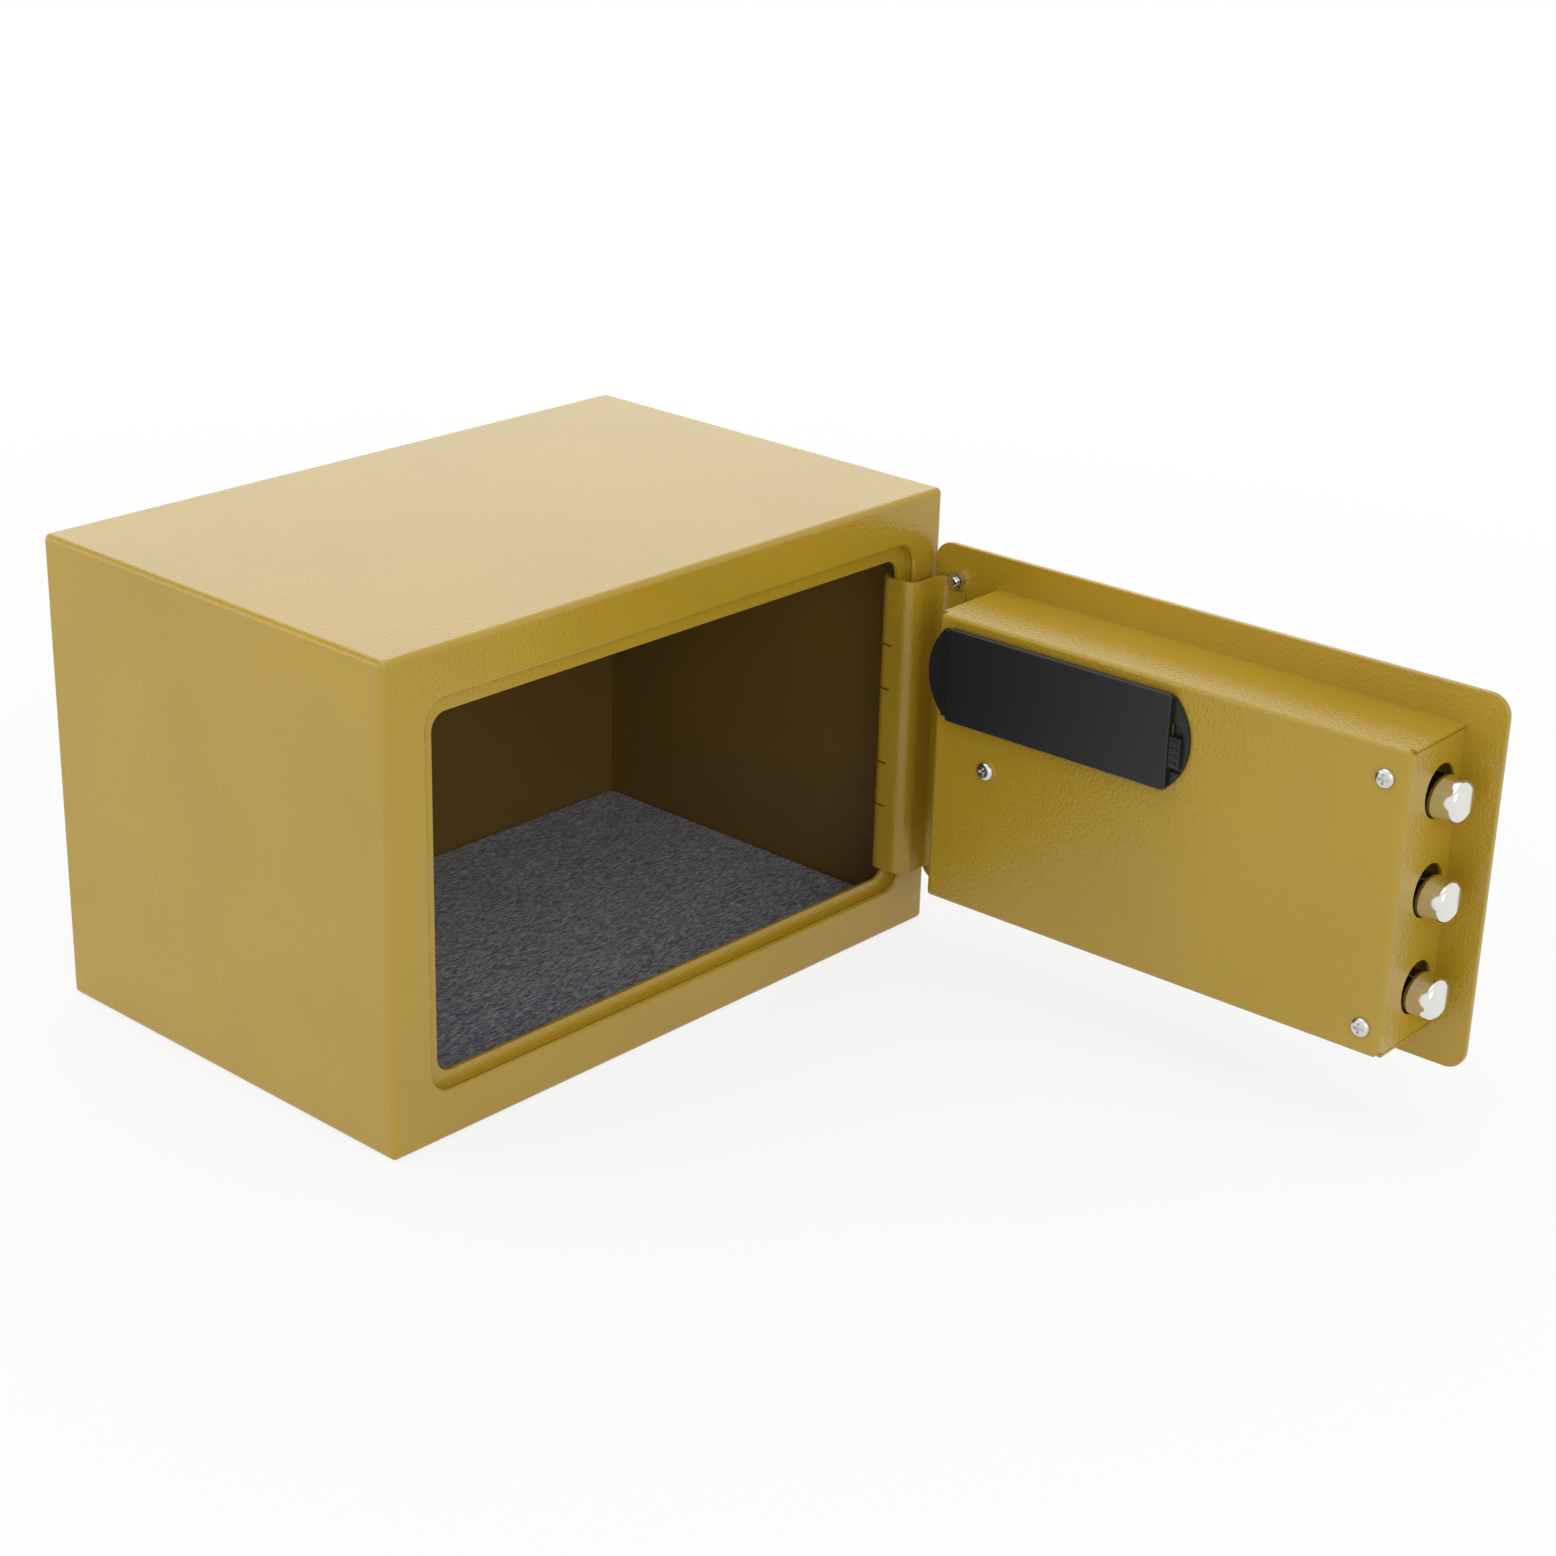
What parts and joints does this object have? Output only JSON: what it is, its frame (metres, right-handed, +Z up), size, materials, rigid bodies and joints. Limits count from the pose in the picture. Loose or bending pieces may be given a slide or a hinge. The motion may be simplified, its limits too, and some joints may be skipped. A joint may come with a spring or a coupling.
{
  "type": "electronic safe",
  "caption": "Small steel electronic safe, door swung open on an inside swan-neck hinge, with knob-driven locking bolts, keypad, key override and battery holder.",
  "frame": {"origin": "centre of the cabinet's underside", "axes": "+X to the right along the front, +Y from the front face to the back panel, +Z up"},
  "size_m": [0.3429, 0.4694, 0.2],
  "materials": {
    "gold_paint": "ochre-gold powder coat with fine orange peel",
    "dark_paint": "ochre-gold powder coat",
    "leaf_gold": "smooth satin gold paint",
    "felt": "heathered dark blue-grey felt",
    "zinc_steel": "bright zinc plate",
    "nickel": "polished nickel plate",
    "bright_metal": "bright nickel plate",
    "plug_brass": "machined brass",
    "black_plastic": "black moulded plastic, fine spark texture",
    "key_plastic": "light grey moulded keys",
    "key_rubber": "black silicone sheet",
    "board_green": "green circuit board",
    "light_lens": "clear tinted lenses",
    "bush_nylon": "natural nylon",
    "coil_tape": "blue insulating tape",
    "cell_wrap": "plain wrapped dry cells"
  },
  "bodies": {
    "cabinet": {"body_shell": "gold_paint", "door_frame": "dark_paint", "back_panel": "gold_paint", "floor_mat": "felt", "body_hinge_leaf": "leaf_gold", "hinge_pin": "zinc_steel"},
    "door": {"door_plate": "gold_paint", "door_hinge_leaf": "leaf_gold", "leaf_studs": "zinc_steel", "leaf_nuts": "zinc_steel", "door_pan": "gold_paint", "pan_brackets": "zinc_steel", "pan_screws": "zinc_steel", "guide_posts": "zinc_steel", "spindle_bush": "bush_nylon", "keypad_fascia": "black_plastic", "fascia_screws": "zinc_steel", "circuit_board": "board_green", "key_mat": "key_rubber", "indicator_lights": "light_lens", "lock_cylinder": "bright_metal", "lock_nut": "zinc_steel", "cover_pivot": "zinc_steel", "solenoid_frame": "zinc_steel", "solenoid_coil": "coil_tape", "plunger_spring": "bright_metal", "battery_box": "black_plastic", "battery_cells": "cell_wrap", "battery_contacts": "bright_metal", "contact_coil_lower": "bright_metal", "contact_coil_upper": "bright_metal"},
    "bolt_work": {"bolt_carriage": "zinc_steel", "locking_bolts": "nickel"},
    "turning_knob": {"knob": "black_plastic", "knob_spindle": "zinc_steel", "spindle_cam": "zinc_steel"},
    "key_plug": {"lock_plug": "plug_brass", "lock_tongue": "zinc_steel"},
    "key_flap": {"keyhole_cover": "black_plastic"},
    "battery_lid": {"battery_cover": "black_plastic"},
    "plunger": {"solenoid_plunger": "bright_metal"},
    "key_1": {"key_1": "key_plastic"},
    "key_2": {"key_2": "key_plastic"},
    "key_3": {"key_3": "key_plastic"},
    "key_4": {"key_4": "key_plastic"},
    "key_5": {"key_5": "key_plastic"},
    "key_6": {"key_6": "key_plastic"},
    "key_7": {"key_7": "key_plastic"},
    "key_8": {"key_8": "key_plastic"},
    "key_9": {"key_9": "key_plastic"},
    "key_star": {"key_star": "key_plastic"},
    "key_0": {"key_0": "key_plastic"},
    "key_hash": {"key_hash": "key_plastic"}
  },
  "joints": [
    {"name": "door_swing", "type": "hinge", "parent": "cabinet", "child": "door", "pos_m": [0.1454, -0.0907, 0.097], "axis": [0, 0, 1], "range_deg": [-91.75, 3]},
    {"name": "knob_turn", "type": "hinge", "parent": "door", "child": "turning_knob", "pos_m": [0.15657, -0.29906, 0.0985], "axis": [0.9995, 0.0305, 0], "range_deg": [0, 60]},
    {"name": "bolt_slide", "type": "slide", "parent": "door", "child": "bolt_work", "axis": [0.0305, -0.9995, 0], "range_m": [0, 0.01]},
    {"name": "plug_turn", "type": "hinge", "parent": "door", "child": "key_plug", "pos_m": [0.15474, -0.23908, 0.0985], "axis": [-0.9995, -0.0305, 0], "range_deg": [0, 90]},
    {"name": "keyhole_flap_turn", "type": "hinge", "parent": "door", "child": "key_flap", "pos_m": [0.15474, -0.23908, 0.114], "axis": [-0.9995, -0.0305, 0], "range_deg": [0, 100]},
    {"name": "battery_lid_turn", "type": "hinge", "parent": "door", "child": "battery_lid", "pos_m": [0.10939, -0.14167, 0.1398], "axis": [0, 0, -1], "range_deg": [0, 70]},
    {"name": "plunger_slide", "type": "slide", "parent": "door", "child": "plunger", "axis": [0, 0, 1], "range_m": [-0.0015, 0], "stiffness_N_per_m": 60, "springref_m": 0.004, "deforming": ["plunger_spring"]},
    {"name": "key_1_press", "type": "slide", "parent": "door", "child": "key_1", "axis": [-0.9995, -0.0305, 0], "range_m": [0, 0.0012], "stiffness_N_per_m": 300, "springref_m": -0.0005},
    {"name": "key_2_press", "type": "slide", "parent": "door", "child": "key_2", "axis": [-0.9995, -0.0305, 0], "range_m": [0, 0.0012], "stiffness_N_per_m": 300, "springref_m": -0.0005},
    {"name": "key_3_press", "type": "slide", "parent": "door", "child": "key_3", "axis": [-0.9995, -0.0305, 0], "range_m": [0, 0.0012], "stiffness_N_per_m": 300, "springref_m": -0.0005},
    {"name": "key_4_press", "type": "slide", "parent": "door", "child": "key_4", "axis": [-0.9995, -0.0305, 0], "range_m": [0, 0.0012], "stiffness_N_per_m": 300, "springref_m": -0.0005},
    {"name": "key_5_press", "type": "slide", "parent": "door", "child": "key_5", "axis": [-0.9995, -0.0305, 0], "range_m": [0, 0.0012], "stiffness_N_per_m": 300, "springref_m": -0.0005},
    {"name": "key_6_press", "type": "slide", "parent": "door", "child": "key_6", "axis": [-0.9995, -0.0305, 0], "range_m": [0, 0.0012], "stiffness_N_per_m": 300, "springref_m": -0.0005},
    {"name": "key_7_press", "type": "slide", "parent": "door", "child": "key_7", "axis": [-0.9995, -0.0305, 0], "range_m": [0, 0.0012], "stiffness_N_per_m": 300, "springref_m": -0.0005},
    {"name": "key_8_press", "type": "slide", "parent": "door", "child": "key_8", "axis": [-0.9995, -0.0305, 0], "range_m": [0, 0.0012], "stiffness_N_per_m": 300, "springref_m": -0.0005},
    {"name": "key_9_press", "type": "slide", "parent": "door", "child": "key_9", "axis": [-0.9995, -0.0305, 0], "range_m": [0, 0.0012], "stiffness_N_per_m": 300, "springref_m": -0.0005},
    {"name": "key_star_press", "type": "slide", "parent": "door", "child": "key_star", "axis": [-0.9995, -0.0305, 0], "range_m": [0, 0.0012], "stiffness_N_per_m": 300, "springref_m": -0.0005},
    {"name": "key_0_press", "type": "slide", "parent": "door", "child": "key_0", "axis": [-0.9995, -0.0305, 0], "range_m": [0, 0.0012], "stiffness_N_per_m": 300, "springref_m": -0.0005},
    {"name": "key_hash_press", "type": "slide", "parent": "door", "child": "key_hash", "axis": [-0.9995, -0.0305, 0], "range_m": [0, 0.0012], "stiffness_N_per_m": 300, "springref_m": -0.0005}
  ],
  "couplings": [
    {"joint": "knob_turn", "follows": "bolt_slide", "rad_per_m": 104.71}
  ]
}
